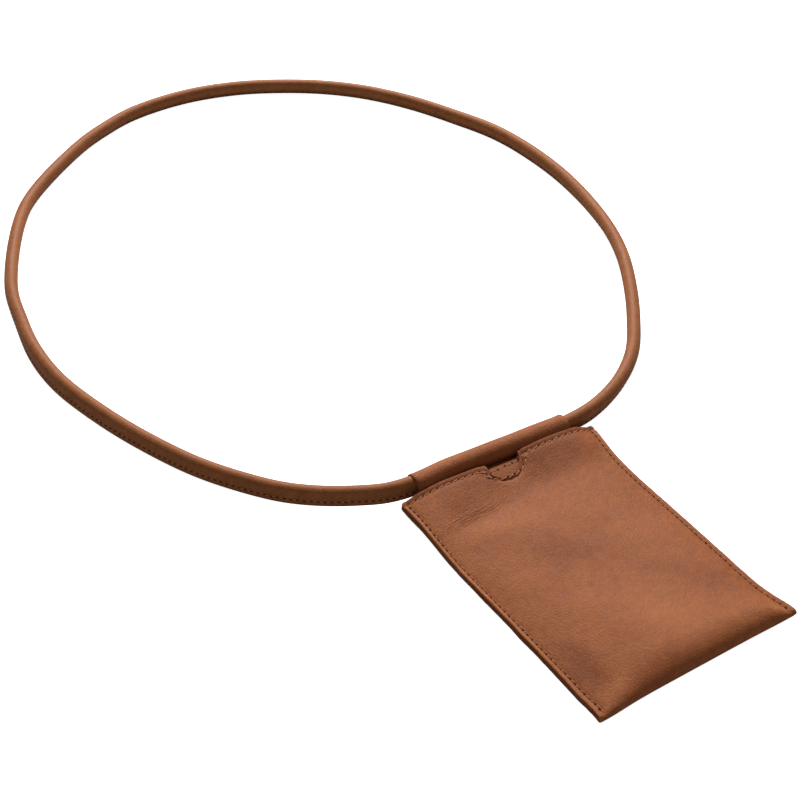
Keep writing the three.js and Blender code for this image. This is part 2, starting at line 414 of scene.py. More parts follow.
# %% Cord route and lean
CORD_ROUTE = [
    (0.0202, 0.0744, 0.0065), (0.043, 0.073, 0.0061), (0.063, 0.0752, 0.0052), (0.0853, 0.0835, 0.0043),
    (0.1063, 0.0982, 0.0039), (0.124, 0.1185, 0.0039), (0.1402, 0.141, 0.0039),
    (0.1543, 0.1653, 0.0039), (0.1642, 0.191, 0.0039), (0.172, 0.228, 0.0039), (0.174, 0.263, 0.0039),
    (0.169, 0.303, 0.0039), (0.157, 0.3342, 0.0039), (0.144, 0.361, 0.0039), (0.1285, 0.3842, 0.0039),
    (0.1105, 0.403, 0.0039), (0.089, 0.419, 0.0039), (0.0645, 0.4323, 0.0039), (0.034, 0.4413, 0.0039),
    (0, 0.4423, 0.0039), (-0.023, 0.4364, 0.0039), (-0.044, 0.4275, 0.0039), (-0.0877, 0.3987, 0.0039),
    (-0.1072, 0.3773, 0.0039), (-0.1365, 0.326, 0.0039), (-0.1444, 0.298, 0.0039),
    (-0.1492, 0.272, 0.0039), (-0.1495, 0.243, 0.0039), (-0.1423, 0.206, 0.0039),
    (-0.1326, 0.1746, 0.0039), (-0.122, 0.149, 0.0039), (-0.11, 0.1285, 0.0039),
    (-0.097, 0.111, 0.0042), (-0.0828, 0.0976, 0.0051), (-0.0698, 0.0878, 0.0062),
    (-0.057, 0.0804, 0.0071), (-0.044, 0.0773, 0.0076), (-0.022, 0.077, 0.0074), (0, 0.0756, 0.0069),
    (0.0198, 0.0744, 0.0065),
]
CORD_RINGS = 640
CORE_RADIUS = 3.66
CORE_BACK = 1.35  # the core lies this far behind the middle of the drop
FLANGE_TIP = 4.88
PRESSED_TIP = 2.25  # how far the flange reaches down where the sleeve holds it in
LAYER = 1.2
FLOOR_GAP = 0.05
LIFT_EASE = 0.3  # how gently the cord comes off the table, in square millimetres
LIFT_TRIM = 0.04
# The lean is in degrees from lying flat to standing on the flange. The flange is 1 at full size.
CORD_LEAN = table(
    "share lean flange",
    (0.000, 56, 0.45),
    (0.015, 62, 0.45),
    (0.025, 72, 0.75),
    (0.040, 84, 1.0),
    (0.080, 88, 1.0),
    (0.140, 72, 1.0),
    (0.200, 84, 1.0),
    (0.260, 87, 1.0),
    (0.330, 79, 1.0),
    (0.400, 73, 1.0),
    (0.520, 76, 1.0),
    (0.600, 84, 1.0),
    (0.660, 80, 1.0),
    (0.710, 70, 1.0),
    (0.740, 56, 1.0),
    (0.780, 48, 1.0),
    (0.830, 52, 1.0),
    (0.930, 56, 1.0),
    (0.941, 55, 1.0),
    (0.946, 54, 0.7),
    (0.952, 54, 0.45),
    (1.000, 56, 0.45),
)

cord_line = smooth_path(np.array(CORD_ROUTE) / MM, CORD_RINGS)
cord_share = np.linspace(0, 1, CORD_RINGS)
cord_lean = np.radians(table_curve(CORD_LEAN, "share", "lean", cord_share))
cord_flange = table_curve(CORD_LEAN, "share", "flange", cord_share)
flange_reach = PRESSED_TIP + (FLANGE_TIP - PRESSED_TIP) * cord_flange
rest_height = flange_reach * np.sin(cord_lean) + LAYER * np.abs(np.cos(cord_lean)) + FLOOR_GAP
lift = rest_height - cord_line[:, 2]
cord_line[:, 2] += (lift + np.sqrt(lift**2 + LIFT_EASE)) / 2 - LIFT_TRIM

# %% [markdown]
# The section is a drop shape: a circle for the core, and two nearly straight sides that run from it
# to the flange. The raw end of the flange shows its two layers, with a fine groove between them. The same
# drop is placed on each ring of the path, turned by the lean there.


# %% Cord mesh
CORE_END = math.radians(61)  # where the straight sides leave the core
CORE_POINTS = 12
FLARE = 1.08  # the sides meet the flange this much wider than its layers
SIDE_BEND = 0.9  # below 1, so that the sides are slightly hollow


def drop_section(flange):
    """Points of the drop: first number along the flange, second across it. flange 1 is full size."""
    tip = CORE_RADIUS + (FLANGE_TIP - CORE_RADIUS) * flange
    back = CORE_BACK * flange
    half = []
    for angle in np.linspace(math.pi, CORE_END, CORE_POINTS):
        half.append((-back + CORE_RADIUS * math.cos(angle), CORE_RADIUS * math.sin(angle)))
    start = half[-1]
    for t in (0.3, 0.6, 0.85):
        fall = t**SIDE_BEND * (LAYER * FLARE - start[1])
        half.append((start[0] + t * (tip - start[0]), start[1] + fall))
    half += [(tip - 0.12, LAYER * 1.02), (tip, LAYER * 0.85), (tip + 0.03, 0.22), (tip - 0.25, 0.0)]
    return np.array(half + [(d, -n) for d, n in half[-2:0:-1]])


along = unit(np.gradient(cord_line, axis=0))
outward = unit(np.cross(along, (0, 0, 1)))
up = np.cross(outward, along)
lean_cos, lean_sin = np.cos(cord_lean)[:, None], np.sin(cord_lean)[:, None]
cord_reach = lean_cos * outward - lean_sin * up
cord_face = lean_sin * outward + lean_cos * up
sections = [drop_section(flange) for flange in cord_flange]
section_size = len(sections[0])
cord_points = np.vstack(
    [
        centre + section[:, :1] * reach + section[:, 1:] * face
        for centre, section, reach, face in zip(cord_line, sections, cord_reach, cord_face)
    ]
)
cord_points[:, 2] = np.maximum(cord_points[:, 2], FLOOR_GAP)
cord_faces = tube_faces(CORD_RINGS, section_size)
RAW_FACES = range(15, 21)  # the faces at the end of the flange, counted round the section
# these faces take the dark edge, which is painted shade
cord_materials = [int(k % section_size in RAW_FACES) for k in range(len(cord_faces) - 2)] + [0, 0]
neck_cord = make_object(
    "leather_neck_cord", cord_points, cord_faces, [cord_leather, cord_edge_painted_shade], cord_materials,
    {"shade": 0, "crease": 0},
)
print("cord section has", section_size, "points")

# %% [markdown]
# ## The pouch, as one folded strip
#
# The shape of the front panel is a height above the table for each place on it. It comes from the
# same few tables as the solid: how far the side edges lie from the middle line, how much air there
# is between the panels, and how far the sleeve's ends lift the back panel at the mouth. To this the
# finished piece adds soft dents and swells, which a table lists with their place and size, and the
# groove that the seam pulls into the leather. In the tables, `up` counts from the bottom fold, and
# `across` runs from -1 at the left edge to 1 at the right edge.

# %% Pouch tables
LEATHER = 1.8
HALF_WIDTH = 56
BOTTOM_Y = -82.6
LENGTH = 151.1
MOUTH_SLOPE = -0.032
SEAM_HEIGHT = 2 * LEATHER + 0.2
FOLD_RADIUS = SEAM_HEIGHT / 2
BACK_SETBACK = 1.9
NOTCH = {"middle": 0.4, "half_width": 10.3, "depth": 10.2, "left_curve": 2.7, "right_curve": 1.7}
EDGES = table(
    "up left right",
    (0, -56.0, 56.5),
    (6, -55.7, 55.7),
    (15, -55.9, 53.6),
    (25, -55.7, 52.6),
    (45, -55.5, 52.5),
    (85, -55.6, 52.3),
    (110, -56.0, 52.1),
    (128, -56.1, 53.1),
    (142, -55.8, 55.0),
    (156, -56.0, 56.5),
)
HOLLOW = table(
    "across fold belly mouth lift",
    (-1.0, 0.0, 0.0, 0.0, 3.8),
    (-0.93, 0.1, 0.1, 0.1, 4.3),
    (-0.8, 1.2, 1.2, 0.3, 5.3),
    (-0.6, 3.2, 2.0, 0.9, 5.7),
    (-0.35, 5.2, 2.5, 0.5, 5.5),
    (-0.1, 5.9, 2.6, 0.05, 5.2),
    (0.12, 5.0, 2.6, 0.05, 4.9),
    (0.4, 4.5, 2.6, 1.5, 4.5),
    (0.6, 4.0, 2.3, 1.5, 4.3),
    (0.8, 2.9, 1.4, 0.4, 4.0),
    (0.93, 0.3, 0.1, 0.1, 1.5),
    (1.0, 0.0, 0.0, 0.0, 0.9),
)
# Where the back panel starts to rise over the sleeve's ends, and where it is fully up.
RAMP = table(
    "across start end",
    (-1.0, 98, 137),
    (-0.8, 114, 144),
    (-0.6, 122, 149),
    (-0.2, 124, 150),
    (0.2, 125, 150),
    (0.6, 125, 148),
    (0.8, 123, 144),
    (1.0, 122, 142),
)
# Soft dents and swells: middle, half length, half width, turn in degrees, rise, and how much
# lighter or darker the leather is painted there: painted shade in the dents, painted light on the
# swells, painted shadow of the sleeve along the mouth, and lighter or darker patches where there
# is no rise.
DENTS = table(
    "x y long wide turn rise shade",
    (-46, -58, 14, 7, 80, -0.7, -0.55),
    (-41, -73, 9, 4, 10, 0.0, 0.35),
    (-23, 13, 15, 8, -25, -0.15, -0.20),
    (-7, 2, 14, 9, -38, -0.15, -0.24),
    (8, -12, 16, 9, -50, -0.1, -0.12),
    (20, -29, 14, 7, -45, -0.2, -0.20),
    (36, -47, 14, 8, -45, -0.2, -0.26),
    (-42, 24, 9, 5, -70, -0.1, -0.18),
    # painted shade along the mouth, where the sleeve's shadow falls
    (0, 67, 58, 7, -2, 0.0, -0.55),
    (10, 43, 34, 7, 0, 0.0, -0.17),
    (24, 57, 24, 9, -4, 0.0, -0.28),
    (-34, 51, 9, 6, 0, -0.1, -0.16),
    (-24, 46, 12, 2, 4, -0.15, -0.14),
    (-36, 38, 14, 5, -20, 0.2, 0.20),
    (-12, 30, 22, 6, -12, 0.15, 0.14),
    (28, -4, 20, 8, -20, 0.15, 0.14),
    (-24, -30, 22, 10, -30, 0.1, 0.08),
    (4, -54, 22, 12, -30, 0.1, 0.20),
    (24, -68, 20, 6, -8, 0.0, 0.12),
    (45, -10, 62, 14, 90, 0.0, -0.16),
)

# How far the side seams run from the cut edges.
SEAM_INSET = table(
    "up left right",
    (0, 3.3, 2.9),
    (10, 2.9, 2.6),
    (30, 2.6, 2.4),
    (60, 2.35, 2.4),
    (156, 2.3, 2.4),
)
MOUTH_INSET = 2.8
MOUTH_CURL = {"height": 0.45, "width": 2.4, "flat_from": 0.8, "flat_to": 0.95, "off_notch": 3}
# Under the thread, and the soft roll beside it.
SEAM_GROOVE = table("depth half_width", (0.26, 0.8), (0.16, 2.2))
FOLD_POWER = 2.0
FOLD_ROLL = {"flat": 2.6, "per_air": 2.3, "less_at_sides": 1.1}
# Heights between which the air at the fold gives way to the belly's, and the belly's to the mouth's.
FOLD_TO_BELLY = (6, 75)
BELLY_TO_MOUTH = (110, 146)
CALM_MARGIN = (2, 14)  # beside the seams, where the thread holds the leather flat
PANEL_WAVES = {"height": 0.12, "length": 26, "seed": 3}
MOUTH_GROOVE = 1.5  # how much deeper the thread pulls along the mouth than along the sides


# %% Pouch surfaces
def edge_x(side, up):
    return table_curve(EDGES, "up", "left" if side < 0 else "right", up)


def across_at(x, up):
    left, right = edge_x(-1, up), edge_x(1, up)
    return (2 * x - left - right) / (right - left)


def x_at(across, up):
    left, right = edge_x(-1, up), edge_x(1, up)
    return (left + right) / 2 + across * (right - left) / 2


def mouth_up(across):
    return LENGTH + MOUTH_SLOPE * across * HALF_WIDTH


def back_height(across, up):
    start = table_curve(RAMP, "across", "start", across)
    end = table_curve(RAMP, "across", "end", across)
    return table_curve(HOLLOW, "across", "lift", across) * soft_step(up, start, end)


def hollow_height(across, up):
    near_fold = 1 - soft_step(up, *FOLD_TO_BELLY)
    near_mouth = soft_step(up, *BELLY_TO_MOUTH)
    return (
        near_fold * table_curve(HOLLOW, "across", "fold", across)
        + (1 - near_fold - near_mouth) * table_curve(HOLLOW, "across", "belly", across)
        + near_mouth * table_curve(HOLLOW, "across", "mouth", across)
    )


def dents(x, y, column):
    total = np.zeros(np.broadcast(x, y).shape)
    for row in DENTS:
        turn = math.radians(row["turn"])
        along = (x - row["x"]) * math.cos(turn) + (y - row["y"]) * math.sin(turn)
        aside = -(x - row["x"]) * math.sin(turn) + (y - row["y"]) * math.cos(turn)
        total += row[column] * bell(along, row["long"]) * bell(aside, row["wide"])
    return total


def notch_shape(t):
    """From 1 in the notch's middle to 0 at its corners: squarer on the left than on the right."""
    curve = np.where(np.asarray(t) < 0, NOTCH["left_curve"], NOTCH["right_curve"])
    return (1 - np.clip(np.abs(t), 0, 1) ** curve) ** (1 / curve)


def notch_depth(x):
    return NOTCH["depth"] * notch_shape((x - NOTCH["middle"]) / NOTCH["half_width"])


def fold_reach(across):
    """How far from the fold the front panel starts to roll down to it."""
    per_air = FOLD_ROLL["per_air"] - FOLD_ROLL["less_at_sides"] * np.abs(across) ** 3
    return FOLD_ROLL["flat"] + per_air * hollow_height(across, FOLD_TO_BELLY[0])


def seam_pull(distance, inset):
    """The groove that tight stitches pull into the leather, and the soft roll beside it."""
    return -sum(row["depth"] * bell(distance - inset, row["half_width"]) for row in SEAM_GROOVE)


def front_height(x, y):
    """Height of the front panel's grain side above the table."""
    up = y - BOTTOM_Y
    across = across_at(x, up)
    air = hollow_height(across, np.maximum(up, FOLD_TO_BELLY[0]))
    height = SEAM_HEIGHT + back_height(across, up) + air
    calm = soft_step(np.minimum(x - edge_x(-1, up), edge_x(1, up) - x), *CALM_MARGIN)
    height = height + calm * (dents(x, y, "rise") + ripple(x, y, PANEL_WAVES))
    for side, name in ((-1, "left"), (1, "right")):
        inset = table_curve(SEAM_INSET, "up", name, up)
        height = height + seam_pull(side * (edge_x(side, up) - x), inset)
    to_mouth = mouth_up(across) - notch_depth(x) - up
    height = height + MOUTH_GROOVE * seam_pull(to_mouth, MOUTH_INSET) * (to_mouth > -1)
    curl = MOUTH_CURL["height"] * np.exp(-np.clip(to_mouth, 0, 30) / MOUTH_CURL["width"])
    from_notch = np.abs(x - NOTCH["middle"]) - NOTCH["half_width"]
    flat = soft_step(np.abs(across), MOUTH_CURL["flat_from"], MOUTH_CURL["flat_to"])
    height = height + curl * (1 - flat) * soft_step(from_notch, 0, MOUTH_CURL["off_notch"])
    to_go = np.clip(1 - up / fold_reach(across), 0, 1)
    rolled = (1 - to_go**FOLD_POWER) ** (1 / FOLD_POWER)
    return FOLD_RADIUS + (height - FOLD_RADIUS) * rolled


# %% [markdown]
# The grid follows the strip from the mouth of the front panel, down to the fold, round it and up
# the back. Near the mouth its rows bend round the thumb notch, so the notch has a clean edge and no
# cut is needed. Columns crowd together at the seams and at the notch's sides, where the shape
# changes quickly. The grain side and the flesh side are two copies of the grid, 1.8 mm apart along
# the surface's own normals, and strips of cut edge join them.


# %% Pouch mesh
EDGE_LINES = [0, 0.07, 0.2, 0.45, 0.9, 1.4, 1.8, 2.2, 2.6, 3.0, 3.4]  # how far in from an edge
NOTCH_LINES = np.array([0.88, 0.94, 0.975, 0.99, 0.997, 1.0, 1.004, 1.02])  # shares of half the notch
PLAIN_COLUMNS, FRONT_ROWS, ROLL_ROWS, FOLD_ROWS, BACK_ROWS = 112, 128, 22, 7, 76
FRONT_RUN, BACK_RUN = 145, 150  # roughly from the mouth to the start of the fold, in front and behind
NOTCH_START = 0.76  # from this share of the way up, the rows begin to bend round the notch
SETBACK_ENDS = (0.82, 0.9)  # beside the sleeve the back panel is as long as the front
# The fold hangs a little lower near its corners, where the hollow is squeezed flat.
FOLD_SAG = table("across depth width", (-0.95, 1.1, 0.26), (0.9, 0.4, 0.3))
SAG_REACH = 14


def grid_columns():
    plain_part = np.linspace(-0.92, 0.92, PLAIN_COLUMNS)
    near_edge = 1 - np.array(EDGE_LINES + [3.8]) / HALF_WIDTH
    notch_x = NOTCH["half_width"] * np.concatenate([-NOTCH_LINES, NOTCH_LINES]) + NOTCH["middle"]
    notch = across_at(notch_x, LENGTH)
    columns = np.sort(np.concatenate([plain_part, near_edge, -near_edge, notch]))
    return columns[np.concatenate([[True], np.diff(columns) > 0.0004])]


def strip_row(up, z):
    return np.stack([x_at(columns, up), BOTTOM_Y + up, z], axis=1)


columns = grid_columns()
reach, end = fold_reach(columns), mouth_up(columns)
near_mouth = np.array(EDGE_LINES + [3.9, 4.5]) / FRONT_RUN
row_shares = 1 - np.concatenate([near_mouth, np.linspace(5.3 / FRONT_RUN, 1, FRONT_ROWS)])
notch_at_column = notch_depth(x_at(columns, LENGTH))
front_ups = []
for share in row_shares:
    dip = notch_at_column * soft_step(share, NOTCH_START, 1.0)
    front_ups.append(reach + share * (end - reach) - dip)
for angle in np.linspace(0, math.pi / 2, ROLL_ROWS)[1:-1]:
    front_ups.append(reach * (1 - math.sin(angle) ** (2 / FOLD_POWER)))
front_rows = [strip_row(up, front_height(x_at(columns, up), BOTTOM_Y + up)) for up in front_ups]

fold_rows = []
for angle in np.linspace(math.pi / 2, math.pi, FOLD_ROWS):
    up = np.full(len(columns), FOLD_RADIUS - FOLD_RADIUS * math.sin(angle))
    z = np.full(len(columns), FOLD_RADIUS + FOLD_RADIUS * math.cos(angle))
    fold_rows.append(strip_row(up, z))

back_rows = []
back_end = end - BACK_SETBACK * (1 - soft_step(np.abs(columns), *SETBACK_ENDS))
rim_shares = 1 - np.array([0.9, 0.3, 0.0]) / BACK_RUN
for share in np.concatenate([np.linspace(0, 1, BACK_ROWS)[1:-1], rim_shares]):
    up = FOLD_RADIUS + share * (back_end - FOLD_RADIUS)
    back_rows.append(strip_row(up, back_height(columns, up)))
grain = np.array(front_rows + fold_rows + back_rows)
for row in FOLD_SAG:
    sag = row["depth"] * bell(columns - row["across"], row["width"])
    grain[:, :, 1] -= sag * (1 - soft_step(grain[:, :, 1] - BOTTOM_Y, 0, SAG_REACH))
row_count, column_count = grain.shape[:2]
front_count = len(front_rows)
print("pouch grid", row_count, "rows by", column_count, "columns")


# %% [markdown]
# The flesh side is found from the grain side before the edges are rounded. At each point the two
# directions of the grid give the surface's normal, and the flesh side lies one thickness inside it.
# Then the cut edges are rounded slightly, and made a little uneven, as a knife leaves them. The back
# panel stands out a little from under the front one, which is what makes two edges show at the side.


# %% Flesh side, edges and the whole piece
CORNER = 1.3  # how round the mouth's corners are cut, and how far in that moves the columns
CORNER_REACH = 5
for rows, rim in ((slice(0, front_count), 0), (slice(front_count, None), -1)):
    to_rim = np.clip(grain[rim, :, 1] - grain[rows, :, 1], 0, CORNER)
    pull = CORNER - np.sqrt(CORNER**2 - (CORNER - to_rim) ** 2)
    for side, column in ((-1, 0), (1, -1)):
        off = np.abs(grain[rows, :, 0] - grain[rows, column : column + 1 or None, 0])
        grain[rows, :, 0] -= side * pull * np.clip(1 - off / CORNER_REACH, 0, 1)
normals = unit(np.cross(np.gradient(grain, axis=0), np.gradient(grain, axis=1)))
if normals[10, column_count // 2, 2] < 0:
    normals = -normals
flesh = grain - normals * LEATHER

# The cut edges waver, in long waves and in short ones.
CUT_WAVES = table("height length seed", (0.07, 9, 20), (0.06, 2.5, 25))
BACK_STANDS_OUT = {"least": 0.2, "height": 0.12, "length": 18, "seed": 11, "over_rows": 14}
rows = np.arange(row_count)
is_back = soft_step(rows, front_count, front_count + BACK_STANDS_OUT["over_rows"])
for side, column in ((-1, 0), (1, -1)):
    y = grain[:, column, 1]
    wave = sum(ripple(y, 0.0, waves, column) for waves in CUT_WAVES)
    wave = wave + is_back * (BACK_STANDS_OUT["least"] + ripple(y, 0.0, BACK_STANDS_OUT, column))
    for k in range(len(EDGE_LINES) + 1):
        move = side * wave * (1 - soft_step(k, 2, len(EDGE_LINES)))
        at = k if side < 0 else -1 - k
        grain[:, at, 0] += move
        flesh[:, at, 0] += move

EDGE_ROUND = 0.4
BEVEL = {"width": 0.9, "in": 0.32, "up": 0.15}  # of the flesh side, so a groove parts the layers


def round_edge(distance):
    inside = np.clip(EDGE_ROUND - distance, 0, EDGE_ROUND)
    return EDGE_ROUND - np.sqrt(EDGE_ROUND**2 - inside**2)


from_left = np.abs(grain[:, :, 0] - grain[:, :1, 0])
from_right = np.abs(grain[:, :, 0] - grain[:, -1:, 0])
from_side = np.minimum(from_left, from_right)
from_mouth = np.linalg.norm(grain - grain[:1], axis=2)
drop = round_edge(from_side)
drop[:front_count] = np.maximum(drop[:front_count], round_edge(from_mouth[:front_count]))
grain -= normals * drop[:, :, None]
bevel = np.clip(1 - from_side / BEVEL["width"], 0, 1)
flesh[:, :, 0] += BEVEL["in"] * bevel * np.where(from_left < from_right, 1, -1)
flesh += normals * (BEVEL["up"] * bevel)[:, :, None]

pouch_points = np.concatenate([grain.reshape(-1, 3), flesh.reshape(-1, 3)])
sheet = row_count * column_count
pouch_faces = grid_faces(row_count, column_count, 0, flip=True)
pouch_faces += grid_faces(row_count, column_count, sheet)
panel_faces = len(pouch_faces) // 2
border = (
    list(range(column_count))
    + [i * column_count + column_count - 1 for i in range(1, row_count)]
    + [(row_count - 1) * column_count + j for j in range(column_count - 2, -1, -1)]
    + [i * column_count for i in range(row_count - 2, 0, -1)]
)
for a, b in zip(border, border[1:] + border[:1]):
    pouch_faces.append((a, b, b + sheet, a + sheet))
face_materials = [0] * panel_faces + [1] * panel_faces + [2] * len(border)

# %% [markdown]
# What the leather reads at each point comes last. `shade` is painted shade and light: darker in
# the dents and lighter on the swells, darker in the margin of the mouth, where the sleeve's shadow
# falls, and lighter along the sides, where the pouch is rubbed and a painted highlight runs beside
# the edge.
# `crease` says how much the leather is wrinkled: most in one crease below the left end of the
# mouth, where the pouch bends when a phone is pulled out, and a little all over the front.

# %% Shade and creases
# lighter along the side edges: wear on the rim, and a painted highlight on the ridge beside it
EDGE_WEAR_AND_HIGHLIGHT = {"rim": 0.5, "band": 0.3, "middle": 0.8, "half_width": 0.7}
# painted shade in the margin of the mouth, where the sleeve's shadow falls
MOUTH_MARGIN_SHADE = {"shade": 0.25, "width": 3.0}
CREASE = {"x": -31, "y": 46, "long": 17, "wide": 2.8, "slope": 0.04}
CREASED_CORNER = {"strength": 0.1, "y": (36, 48), "x": (20, -10)}
FINE_CREASES = {"front": 0.09, "height": 0.08, "length": 30, "seed": 41, "elsewhere": 0.05}

flat_x, flat_y = pouch_points[:, 0], pouch_points[:, 1]
is_front = np.concatenate([np.arange(sheet) // column_count < front_count, np.zeros(sheet, bool)])
shade = np.where(is_front, dents(flat_x, flat_y, "shade"), 0.0)
wear_and_highlight = EDGE_WEAR_AND_HIGHLIGHT["rim"] * np.clip(round_edge(from_side) / (EDGE_ROUND / 2), 0, 1)
wear_and_highlight += EDGE_WEAR_AND_HIGHLIGHT["band"] * bell(from_side - EDGE_WEAR_AND_HIGHLIGHT["middle"], EDGE_WEAR_AND_HIGHLIGHT["half_width"])
# painted shade: the margin of the mouth is darkened
painted_mouth_shade = MOUTH_MARGIN_SHADE["shade"] * np.exp(-((from_mouth / MOUTH_MARGIN_SHADE["width"]) ** 4))
painted_mouth_shade[front_count:] = 0
shade[:sheet] += (wear_and_highlight - painted_mouth_shade).ravel()
along = flat_x - CREASE["x"]
aside = flat_y - CREASE["y"] - CREASE["slope"] * along
crease = bell(along, CREASE["long"]) * bell(aside, CREASE["wide"])
in_corner = soft_step(flat_y, *CREASED_CORNER["y"]) * soft_step(flat_x, *CREASED_CORNER["x"])
crease += CREASED_CORNER["strength"] * in_corner
crease += FINE_CREASES["front"] + ripple(flat_x, flat_y, FINE_CREASES)
crease = np.where(is_front, crease, FINE_CREASES["elsewhere"])
pouch = make_object(
    "folded_leather_pouch", pouch_points, pouch_faces, [pouch_leather, flesh_side, cut_edge],
    face_materials, {"shade": shade, "crease": crease},
)

# %% [markdown]
# ## The sleeve
#
# A strip of the same leather goes round the cord, and its two ends lie on each other under the back
# panel. Its section is the same all along: up from the lower end, round the cord, and down to the
# upper end, with the inside of the strip following the same way back. So the section is one closed
# outline, and the sleeve is that outline carried along the cord.

# %% Sleeve
SLEEVE = {"left": -44.0, "right": 43.0, "radius": 5.75, "bore": 4.05, "tab_end": 58.9}
SLEEVE_CLEARANCE = 0.3  # between the tab and the back panel
SLEEVE_SWELL = {"by": 0.25, "from": -10, "to": 40}  # it is a little fatter towards its right end
SLEEVE_WAVES = {"height": 0.12, "length": 30, "seed": 8}
NECK = 0.7  # from the tunnel to where the tab's two layers meet
SLEEVE_SECTIONS = 46
TAB_SHARES = (0, 0.2, 0.4, 0.6, 0.8, 1.0)
TUNNEL = np.radians(np.linspace(-88, 205, 40))  # the part of the circle that the outside follows
BORE_POINTS = 36
PARTING = 0.04  # half the gap between the tab's two layers
CUT_ENDS = ((0.0, 0.35), (0.12, 0.15), (0.4, 0.0))  # how far in from an end, and how much thinner there
# painted shade: the sleeve is darker low down on its side towards the mouth, in the crevice
PAINTED_SHADE_NEAR_MOUTH = 0.9  # how much darker the leather is low down on the side towards the mouth
SLEEVE_SHADE = -0.05

cord_inside = smooth_path(np.array(CORD_ROUTE[-6:] + CORD_ROUTE[1:4]) / MM, 400)


def sleeve_axis(x):
    """The cord's middle line inside the sleeve, as y and z against x."""
    return [np.interp(x, cord_inside[:, 0], cord_inside[:, k]) for k in (1, 2)]


def tab_heights(x, y):
    """Top, seam and bottom of the sleeve's double end, under the back panel."""
    up = y - BOTTOM_Y
    top = back_height(across_at(x, up), up) - SLEEVE_CLEARANCE
    bottom = max(top - 2 * LEATHER, FLOOR_GAP)
    return top, (top + bottom) / 2, bottom


def sleeve_section(x, thinner):
    """The closed outline at x: under the tab, round the cord, over the tab, and back inside."""
    y, z = sleeve_axis(x)
    swell = SLEEVE_SWELL["by"] * soft_step(x, SLEEVE_SWELL["from"], SLEEVE_SWELL["to"])
    outer = SLEEVE["radius"] + swell - thinner
    bore = SLEEVE["bore"] + 0.5 * thinner
    uneven = float(ripple(x, 0.0, SLEEVE_WAVES))
    tab, neck = SLEEVE["tab_end"] + thinner, y - outer - NECK
    flat = [tab + share * (neck - tab) for share in TAB_SHARES]
    tops, seams, bottoms = zip(*(tab_heights(x, v) for v in flat))
    low = [(v, bottom + thinner) for v, bottom in zip(flat, bottoms)]
    low.append((y - 2.5, max(z - outer, low[-1][1] - 0.3)))
    ring = []
    for angle in TUNNEL:
        radius = outer + uneven * math.sin(2 * angle)
        ring.append((y + radius * math.cos(angle), z + radius * math.sin(angle)))
    high = [(neck + 0.3, tops[-1] + 0.5)]
    high += [(v, top - thinner) for v, top in zip(flat, tops)][::-1]
    crotch = (y - 0.97 * bore, seams[-1] + 0.3)
    meeting = list(zip(flat, seams)) + [crotch]
    upper = [(v, seam + PARTING) for v, seam in meeting]
    lower = [(v, seam - PARTING) for v, seam in meeting][::-1]
    start = math.atan2(crotch[1] - z, crotch[0] - y) % (2 * math.pi)
    hole = []
    for angle in np.linspace(start - 0.03, start - 2 * math.pi + 0.03, BORE_POINTS):
        hole.append((y + bore * math.cos(angle), z + bore * math.sin(angle)))
    return [(x, a, b) for a, b in low + ring + high + upper + hole + lower]


left_end = [(SLEEVE["left"] + far, thinner) for far, thinner in CUT_ENDS]
inner = [(x, 0.0) for x in np.linspace(SLEEVE["left"] + 2, SLEEVE["right"] - 2, SLEEVE_SECTIONS)]
right_end = [(SLEEVE["right"] - far, thinner) for far, thinner in CUT_ENDS[::-1]]
sleeve_sections = [sleeve_section(x, thinner) for x, thinner in left_end + inner + right_end]
loop = len(sleeve_sections[0])
sleeve_points = np.array(sleeve_sections).reshape(-1, 3)
sleeve_faces = tube_faces(len(sleeve_sections), loop)
outer_count = 2 * (len(TAB_SHARES) + 1) + len(TUNNEL) - 1
sleeve_materials = [int(k % loop >= outer_count) for k in range(len(sleeve_faces) - 2)] + [2, 2]
# painted shade low on the sleeve's side towards the mouth, where the crevice is in shade
axis_y, axis_z = sleeve_axis(sleeve_points[:, 0])
towards_mouth = np.clip((axis_y - sleeve_points[:, 1]) / SLEEVE["radius"] * 2 - 1, 0, 1)
low_down = np.clip((axis_z + 2 - sleeve_points[:, 2]) / 4, 0, 1)
sleeve_shade = SLEEVE_SHADE - PAINTED_SHADE_NEAR_MOUTH * towards_mouth * low_down
sleeve = make_object(
    "leather_cord_sleeve", sleeve_points, sleeve_faces, [pouch_leather, flesh_side, cut_edge],
    sleeve_materials, {"shade": sleeve_shade, "crease": 0},
)

# %% [markdown]
# ## A row of stitches, with Geometry Nodes
#
# A seam is one short thing repeated a few dozen times, so a node tree makes it. The tree takes a
# line that runs along the seam, puts a point on it for each stitch, and copies one stitch to each
# point: a short arch of thread that comes out of one needle hole and goes down into the next, and
# the dark mouth of its hole, halfway to the next stitch. Each copy is turned so that it runs along
# the seam and stands out of the leather, which the line knows from the direction stored on its
# points. At the end the copies are made real, and faces marked as holes get their own material.


# %% Stitch tree
STITCH_SIZES = {
    "Spacing": 0.0034,
    "Thread radius": 0.0003,
    "Thread length": 0.0026,
    "Arch": 0.0003,
    "Slant": 0.0,
    "Hole length": 0.0011,
    "Hole width": 0.0009,
}
MOST_JITTER = 0.09  # each stitch is turned by up to this much, in radians
HOLE_LIFT = 0.00015  # keeps the flat hole clear of the rounded groove
THREAD_SIDES, THREAD_STEPS, HOLE_CORNERS = 7, 5, 9


